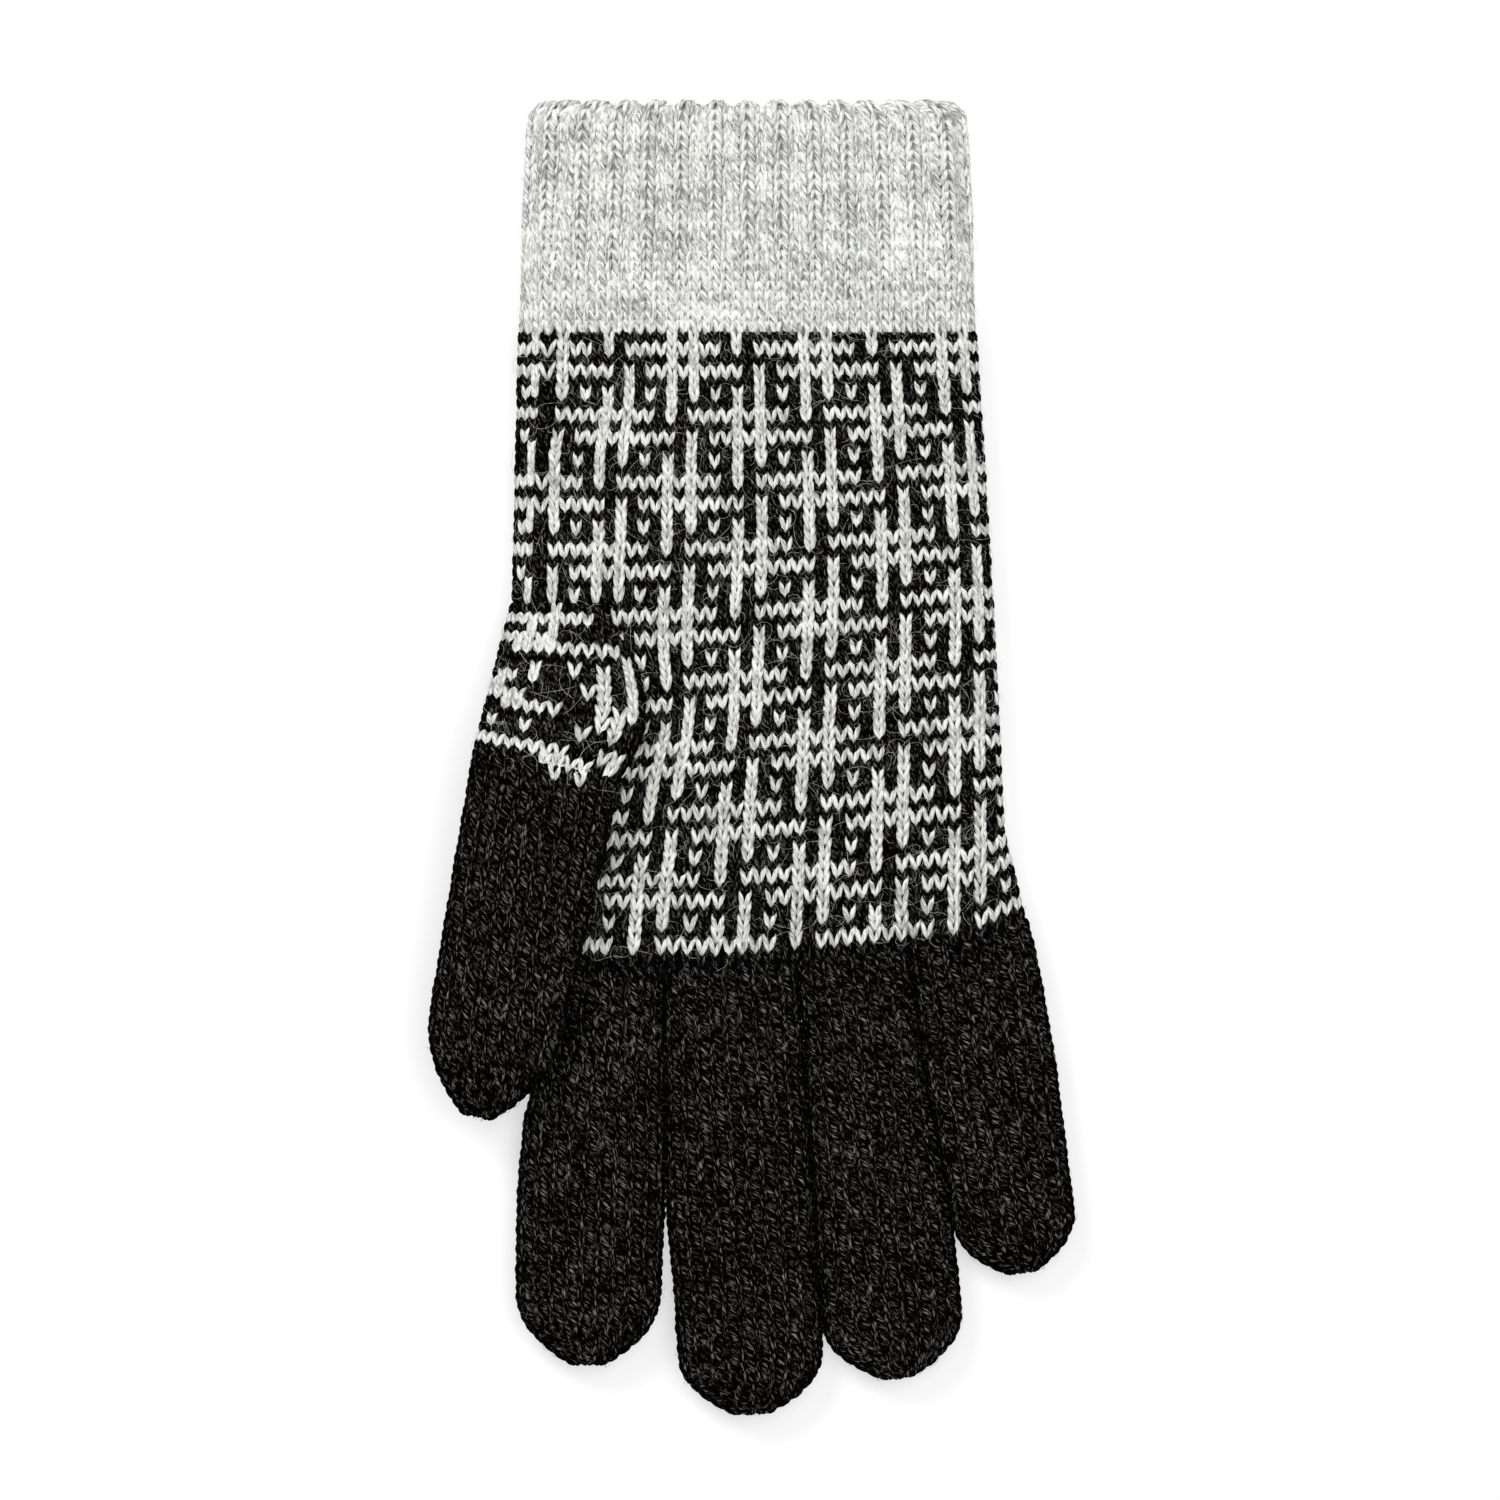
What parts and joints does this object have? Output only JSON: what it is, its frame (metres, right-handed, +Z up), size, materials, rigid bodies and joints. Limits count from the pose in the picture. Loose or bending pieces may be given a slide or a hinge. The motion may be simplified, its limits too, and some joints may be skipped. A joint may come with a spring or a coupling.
{
  "type": "knitted glove",
  "caption": "Right-hand knitted glove lying palm up: double cuff, two-colour patterned hand with thumb gusset, plain fingers and thumb that fold.",
  "frame": {"origin": "on the surface it rests on, under the middle of the glove's outer box", "axes": "+Y along the glove to the cuff's edge, +Z up out of the palm, +X to the little finger's side; the fingers point to -Y"},
  "size_m": [0.1229, 0.2492, 0.0234],
  "materials": {
    "grey_yarn": "light heather grey knitting",
    "elastic": "covered elastic thread",
    "jacquard_yarn": "black and off-white two-colour knitting",
    "black_yarn": "black marled knitting"
  },
  "bodies": {
    "hand_body": {"cuff_outer": "grey_yarn", "cuff_lining": "grey_yarn", "cuff_elastic": "elastic", "hand": "jacquard_yarn", "thumb_gusset": "jacquard_yarn", "index_root": "black_yarn", "middle_root": "black_yarn", "ring_root": "black_yarn", "little_root": "black_yarn"},
    "index_lower_body": {"index_lower": "black_yarn"},
    "index_tip_body": {"index_tip": "black_yarn"},
    "middle_lower_body": {"middle_lower": "black_yarn"},
    "middle_tip_body": {"middle_tip": "black_yarn"},
    "ring_lower_body": {"ring_lower": "black_yarn"},
    "ring_tip_body": {"ring_tip": "black_yarn"},
    "little_lower_body": {"little_lower": "black_yarn"},
    "little_tip_body": {"little_tip": "black_yarn"},
    "thumb_root_body": {"thumb_root": "black_yarn"},
    "thumb_lower_body": {"thumb_lower": "black_yarn"},
    "thumb_tip_body": {"thumb_tip": "black_yarn"}
  },
  "joints": [
    {"name": "index_root_fold", "type": "hinge", "parent": "hand_body", "child": "index_lower_body", "pos_m": [-0.03014, -0.04691, 0.011], "axis": [-0.9998, 0.0175, 0], "range_deg": [0, 60]},
    {"name": "index_mid_fold", "type": "hinge", "parent": "index_lower_body", "child": "index_tip_body", "pos_m": [-0.03075, -0.08191, 0.011], "axis": [-0.9998, 0.0175, 0], "range_deg": [0, 50]},
    {"name": "middle_root_fold", "type": "hinge", "parent": "hand_body", "child": "middle_lower_body", "pos_m": [-0.00384, -0.04488, 0.011], "axis": [-0.999, -0.0454, 0], "range_deg": [0, 60]},
    {"name": "middle_mid_fold", "type": "hinge", "parent": "middle_lower_body", "child": "middle_tip_body", "pos_m": [-0.00207, -0.08384, 0.011], "axis": [-0.999, -0.0454, 0], "range_deg": [0, 50]},
    {"name": "ring_root_fold", "type": "hinge", "parent": "hand_body", "child": "ring_lower_body", "pos_m": [0.02108, -0.04292, 0.011], "axis": [-0.9952, -0.0976, 0], "range_deg": [0, 60]},
    {"name": "ring_mid_fold", "type": "hinge", "parent": "ring_lower_body", "child": "ring_tip_body", "pos_m": [0.02469, -0.07974, 0.011], "axis": [-0.9952, -0.0976, 0], "range_deg": [0, 50]},
    {"name": "little_root_fold", "type": "hinge", "parent": "hand_body", "child": "little_lower_body", "pos_m": [0.04382, -0.04111, 0.011], "axis": [-0.9893, -0.1461, 0], "range_deg": [0, 60]},
    {"name": "little_mid_fold", "type": "hinge", "parent": "little_lower_body", "child": "little_tip_body", "pos_m": [0.04791, -0.06881, 0.011], "axis": [-0.9893, -0.1461, 0], "range_deg": [0, 50]},
    {"name": "thumb_swing", "type": "hinge", "parent": "hand_body", "child": "thumb_root_body", "pos_m": [-0.05308, 0.00162, 0.01461], "axis": [0, 0, -1], "range_deg": [0, 35]},
    {"name": "thumb_root_fold", "type": "hinge", "parent": "thumb_root_body", "child": "thumb_lower_body", "pos_m": [-0.04233, -0.01607, 0.02106], "axis": [-0.9693, 0.2025, -0.1392], "range_deg": [0, 50]},
    {"name": "thumb_mid_fold", "type": "hinge", "parent": "thumb_lower_body", "child": "thumb_tip_body", "pos_m": [-0.04682, -0.03858, 0.01957], "axis": [-0.9693, 0.2025, -0.1392], "range_deg": [0, 60]}
  ]
}
